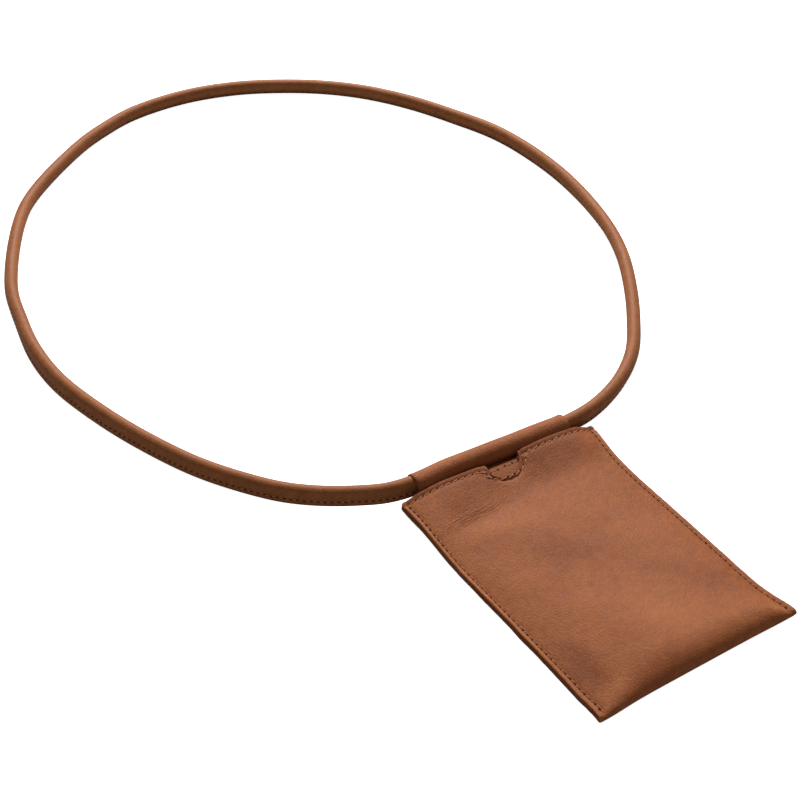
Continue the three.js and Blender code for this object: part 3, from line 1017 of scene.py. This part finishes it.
def stitch_tree():
    tree = bpy.data.node_groups.new("row of stitches", "GeometryNodeTree")
    face = tree.interface
    kinds = {"Geometry": "Geometry", **dict.fromkeys(STITCH_SIZES, "Float")}
    kinds.update({"Thread": "Material", "Hole": "Material", "Seed": "Int"})
    for label, kind in kinds.items():
        socket = face.new_socket(label, in_out="INPUT", socket_type="NodeSocket" + kind)
        if kind == "Float":
            socket.default_value = STITCH_SIZES[label]
    face.new_socket("Geometry", in_out="OUTPUT", socket_type="NodeSocketGeometry")
    given = tree.nodes.new("NodeGroupInput").outputs

    # A point for each stitch, and the turn of the stitch there.
    line = add_node(tree, "GeometryNodeMeshToCurve", {"Mesh": given["Geometry"]})
    steps = {"Curve": line, "Length": given["Spacing"]}
    even = add_node(tree, "GeometryNodeResampleCurve", steps, mode="LENGTH")
    out = add_node(tree, "GeometryNodeInputNamedAttribute", {"Name": "out"}, data_type="FLOAT_VECTOR")
    along = add_node(tree, "GeometryNodeInputTangent", {})
    stand = add_node(tree, "FunctionNodeAlignEulerToVector", {"Vector": out}, axis="Z")
    onwards = {"Rotation": stand, "Vector": along}
    run = add_node(tree, "FunctionNodeAlignEulerToVector", onwards, axis="X", pivot_axis="Z")
    spread = {2: -MOST_JITTER, 3: MOST_JITTER, "Seed": given["Seed"]}
    jitter = add_node(tree, "FunctionNodeRandomValue", spread, 1, data_type="FLOAT")
    slant = add_node(tree, "ShaderNodeMath", {0: given["Slant"], 1: jitter}, operation="ADD")
    slant = add_node(tree, "ShaderNodeCombineXYZ", {"Z": slant})
    turns = {"Rotation": run, "Rotate By": slant}
    turned = add_node(tree, "FunctionNodeRotateEuler", turns, space="LOCAL")

    # One stitch: an arch of thread, and the mouth of a hole beside it.
    half, less, deep, at_hole = [
        add_node(tree, "ShaderNodeMath", {0: given[label], 1: share}, operation="MULTIPLY")
        for label, share in (
            ("Thread length", 0.5), ("Thread length", -0.5), ("Thread radius", -0.9),
            ("Spacing", 0.5),
        )
    ]
    start = add_node(tree, "ShaderNodeCombineXYZ", {"X": less, "Z": deep})
    top = add_node(tree, "ShaderNodeCombineXYZ", {"Z": given["Arch"]})
    end = add_node(tree, "ShaderNodeCombineXYZ", {"X": half, "Z": deep})
    ends = {"Resolution": THREAD_STEPS, "Start": start, "Middle": top, "End": end}
    arc = add_node(tree, "GeometryNodeCurveQuadraticBezier", ends)
    ring = {"Resolution": THREAD_SIDES, "Radius": given["Thread radius"]}
    ring = add_node(tree, "GeometryNodeCurvePrimitiveCircle", ring)
    tube = {"Curve": arc, "Profile Curve": ring, "Fill Caps": True}
    thread = add_node(tree, "GeometryNodeCurveToMesh", tube)
    disc = {"Vertices": HOLE_CORNERS, "Radius": 0.5}
    mouth = add_node(tree, "GeometryNodeMeshCircle", disc, fill_type="TRIANGLE_FAN")
    mark = {"Geometry": mouth, "Name": "is_hole", "Value": True}
    mouth = add_node(tree, "GeometryNodeStoreNamedAttribute", mark, data_type="BOOLEAN", domain="FACE")
    at_hole = add_node(tree, "ShaderNodeCombineXYZ", {"X": at_hole, "Z": HOLE_LIFT})
    oval = {"X": given["Hole length"], "Y": given["Hole width"], "Z": 1.0}
    oval = add_node(tree, "ShaderNodeCombineXYZ", oval)
    move = {"Geometry": mouth, "Translation": at_hole, "Scale": oval}
    mouth = add_node(tree, "GeometryNodeTransform", move)
    stitch = add_node(tree, "GeometryNodeJoinGeometry", {"Geometry": thread})
    tree.links.new(mouth, stitch.node.inputs["Geometry"])

    # The copies, made real, and their materials.
    copies = {"Points": even, "Instance": stitch, "Rotation": turned}
    placed = add_node(tree, "GeometryNodeInstanceOnPoints", copies)
    solid = add_node(tree, "GeometryNodeRealizeInstances", {"Geometry": placed})
    dye = {"Geometry": solid, "Material": given["Thread"]}
    all_thread = add_node(tree, "GeometryNodeSetMaterial", dye)
    is_hole = add_node(
        tree, "GeometryNodeInputNamedAttribute", {"Name": "is_hole"}, data_type="BOOLEAN"
    )
    dark = {"Geometry": all_thread, "Selection": is_hole, "Material": given["Hole"]}
    with_holes = add_node(tree, "GeometryNodeSetMaterial", dark)
    result = tree.nodes.new("NodeGroupOutput")
    tree.links.new(with_holes, result.inputs[0])
    return tree


row_of_stitches = stitch_tree()


def sew(name, lines, **sizes):
    """Sews rows along lines of (point, outward direction) pairs, and returns them as one mesh."""
    points, edges, outs = [], [], []
    for line_points, line_outs in lines:
        first = len(points)
        points += (np.asarray(line_points) * MM).tolist()
        outs += np.asarray(line_outs).tolist()
        edges += [(first + k, first + k + 1) for k in range(len(line_points) - 1)]
    mesh = bpy.data.meshes.new(name + "_line")
    mesh.from_pydata(points, edges, [])
    attribute = mesh.attributes.new("out", "FLOAT_VECTOR", "POINT")
    attribute.data.foreach_set("vector", np.asarray(outs, np.float32).ravel())
    guide = add_object(name + "_line", mesh)
    modifier = guide.modifiers.new("stitches", "NODES")
    modifier.node_group = row_of_stitches
    sizes = {"Thread": waxed_thread, "Hole": needle_hole, **sizes}
    for item in row_of_stitches.interface.items_tree:
        if item.in_out == "INPUT" and item.name in sizes:
            modifier[item.identifier] = sizes[item.name]
    bpy.context.view_layer.update()
    graph = bpy.context.evaluated_depsgraph_get()
    sewn = bpy.data.meshes.new_from_object(guide.evaluated_get(graph))
    bpy.data.objects.remove(guide)
    print(name, "has", len(sewn.polygons), "faces")
    return add_object(name, sewn)


# %% [markdown]
# ## Where the seams run
#
# The side seams run two or three millimetres in from the cut edges, from the fold to just under
# the mouth's own row, which dips round the thumb notch. Both lie on the front panel's surface, so
# their lines ask it for its height. The sleeve's ends are sewn to the back panel, and that row
# shows in the notch. The cord is sewn through its flange, close to the core, so the same stitches
# show on both of its sides, in a seam whose holes show as long dark dashes of painted shade.


# %% Seam lines
PROBE = 0.3  # how far to each side the slope of the panel is measured


def on_front(x, y):
    """Points on the front panel and the directions straight out of it there."""
    x, y = np.asarray(x, float), np.asarray(y, float)
    z = front_height(x, y)
    slope_x = (front_height(x + PROBE, y) - front_height(x - PROBE, y)) / (2 * PROBE)
    slope_y = (front_height(x, y + PROBE) - front_height(x, y - PROBE)) / (2 * PROBE)
    return np.stack([x, y, z], axis=1), np.stack([-slope_x, -slope_y, np.ones_like(x)], axis=1)


SEAM_START = 2.0
SEAM_STEPS = 220
SEAM_TOPS = ((-1, "left", 149.4), (1, "right", 146.2))
side_seams = []
for side, name, top in SEAM_TOPS:
    seam_up = np.linspace(SEAM_START, top, SEAM_STEPS)
    inset = table_curve(SEAM_INSET, "up", name, seam_up)
    side_seams.append(on_front(edge_x(side, seam_up) - side * inset, BOTTOM_Y + seam_up))
side_stitches = sew(
    "side_seam_stitches", side_seams,
    **{
        "Spacing": 0.0034, "Thread length": 0.0025, "Thread radius": 0.0003, "Arch": 0.0005,
        "Slant": 0.3, "Hole length": 0.0016, "Hole width": 0.0012, "Seed": 4,
    },
)

MOUTH_SEAM_END = 51
CLOSER_AT_SIDES, CLOSER_BELOW = 0.2, 1.4  # to the notch, than the rest of the row is to the mouth
notch_wide = NOTCH["half_width"] + MOUTH_INSET - CLOSER_AT_SIDES
seam_dip = NOTCH["depth"] - CLOSER_BELOW
mouth_x = np.concatenate(
    [
        np.linspace(-MOUTH_SEAM_END, NOTCH["middle"] - notch_wide, 60, endpoint=False),
        NOTCH["middle"] + notch_wide * np.cos(np.linspace(math.pi, 0, 90)),
        np.linspace(NOTCH["middle"] + notch_wide, MOUTH_SEAM_END, 60)[1:],
    ]
)
dip = seam_dip * notch_shape((mouth_x - NOTCH["middle"]) / notch_wide)
mouth_y = BOTTOM_Y + mouth_up(across_at(mouth_x, LENGTH)) - MOUTH_INSET - dip
mouth_stitches = sew(
    "mouth_stitches", [on_front(mouth_x, mouth_y)],
    **{
        "Spacing": 0.0040, "Thread length": 0.0036, "Thread radius": 0.00036, "Arch": 0.0006,
        "Slant": 0.22, "Seed": 7,
    },
)

TAB_SEAM = {"left": -9.4, "right": 12.0, "y": 64.6}  # as far as it shows in the notch
tab_x = np.linspace(TAB_SEAM["left"], TAB_SEAM["right"], 20)
tab_y = np.full_like(tab_x, TAB_SEAM["y"])
tab_across = across_at(tab_x, tab_y - BOTTOM_Y)
tab_z = back_height(tab_across, tab_y - BOTTOM_Y) + LEATHER
tab_stitches = sew(
    "sleeve_seam_stitches",
    [(np.stack([tab_x, tab_y, tab_z], axis=1), np.tile((0, 0, 1), (len(tab_x), 1)))],
    **{"Spacing": 0.0036, "Seed": 9},
)

SLEEVE_ENDS = (0.03, 0.94)  # shares of the way round the cord
in_the_open = (cord_share > SLEEVE_ENDS[0]) & (cord_share < SLEEVE_ENDS[1])
FLANGE_SEAM = 2.7  # along the drop, where its sides are this far from the middle:
FLANGE_HALF = 2.12
SIDE_SLOPE = (0.93, 0.37)  # straight out of the drop's side, across it and along it
cord_seams = []
for side in (1, -1):
    seam_points = cord_line + FLANGE_SEAM * cord_reach + side * FLANGE_HALF * cord_face
    seam_outs = side * SIDE_SLOPE[0] * cord_face + SIDE_SLOPE[1] * cord_reach
    cord_seams.append((seam_points[in_the_open], seam_outs[in_the_open]))
# the cord's holes are long dark dashes of painted shade
cord_stitches = sew(
    "cord_seam_stitches", cord_seams,
    **{
        "Spacing": 0.0033, "Thread radius": 0.00026, "Hole length": 0.0022, "Hole width": 0.0008,
        "Hole": cord_hole_painted_shade, "Seed": 12,
    },
)

# %% [markdown]
# ## Table and light
#
# The leather lies on a mid-grey board in a pale room, so that little light comes back up at it and
# its sides stay dark and rich. That takes two planes. `grey_board` is what the leather sees: it
# gives the bounce light and the dark line where the cord touches down. `white_sweep` is what the
# camera sees: a plain pale floor. The light is one large soft window behind the loop, a little under
# 40 degrees up, and a dim room.


# %% Table and light
FLOOR_SIDE = 8.0
BOARD_HEIGHT, SWEEP_HEIGHT = -0.0004, -0.0003  # just under the leather


def floor_plane(name, height, colour, glow):
    side = FLOOR_SIDE
    mesh = bpy.data.meshes.new(name)
    corners = [(x, y, height) for x, y in ((-side, -side), (side, -side), (side, side), (-side, side))]
    mesh.from_pydata(corners, [], [(0, 1, 2, 3)])
    mesh.materials.append(plain(name, colour, 0.9, glow))
    plane = add_object(name, mesh)
    return plane


grey_board = floor_plane("grey_board", BOARD_HEIGHT, "#c6c6c6", 0.0)
grey_board.visible_camera = False
white_sweep = floor_plane("white_sweep", SWEEP_HEIGHT, "#e8e8e8", 0.92)
white_sweep.visible_diffuse = False
white_sweep.visible_glossy = False
white_sweep.visible_shadow = False


WINDOW_PLACE = Vector((0.86, 1.45, 1.24))
WINDOW_AIM = Vector((0.0, 0.15, 0.0))
window_data = bpy.data.lights.new("window behind", "AREA")
window_data.shape = "RECTANGLE"
window_data.size, window_data.size_y = 0.85, 0.6
window_data.energy = 83
window = add_object("window behind", window_data)
window.location = WINDOW_PLACE
window.rotation_euler = (WINDOW_AIM - WINDOW_PLACE).to_track_quat("-Z", "Y").to_euler()

world = bpy.data.worlds.new("soft studio")
world.use_nodes = True
room = {"Color": (1.0, 1.0, 1.0, 1.0), "Strength": 0.3}
set_inputs(world.node_tree, world.node_tree.nodes["Background"], room)
bpy.context.scene.world = world
bpy.context.scene.view_settings.view_transform = "Standard"

# %% [markdown]
# ## Hiding the solids and attaching the pieces
#
# Each solid is hidden, and every finished piece rides on the one body.

# %% Hiding and attaching
for piece, node in ((pouch, "pouch_body"), (sleeve, "cord_sleeve"), (neck_cord, "neck_cord")):
    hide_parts(node)
for piece, slot in (
    (pouch, "pouch_leather"),
    (sleeve, "pouch_leather"),
    (neck_cord, "cord_leather"),
    (side_stitches, "pouch_leather"),
    (mouth_stitches, "pouch_leather"),
    (tab_stitches, "pouch_leather"),
    (cord_stitches, "cord_leather"),
):
    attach(piece, "root")
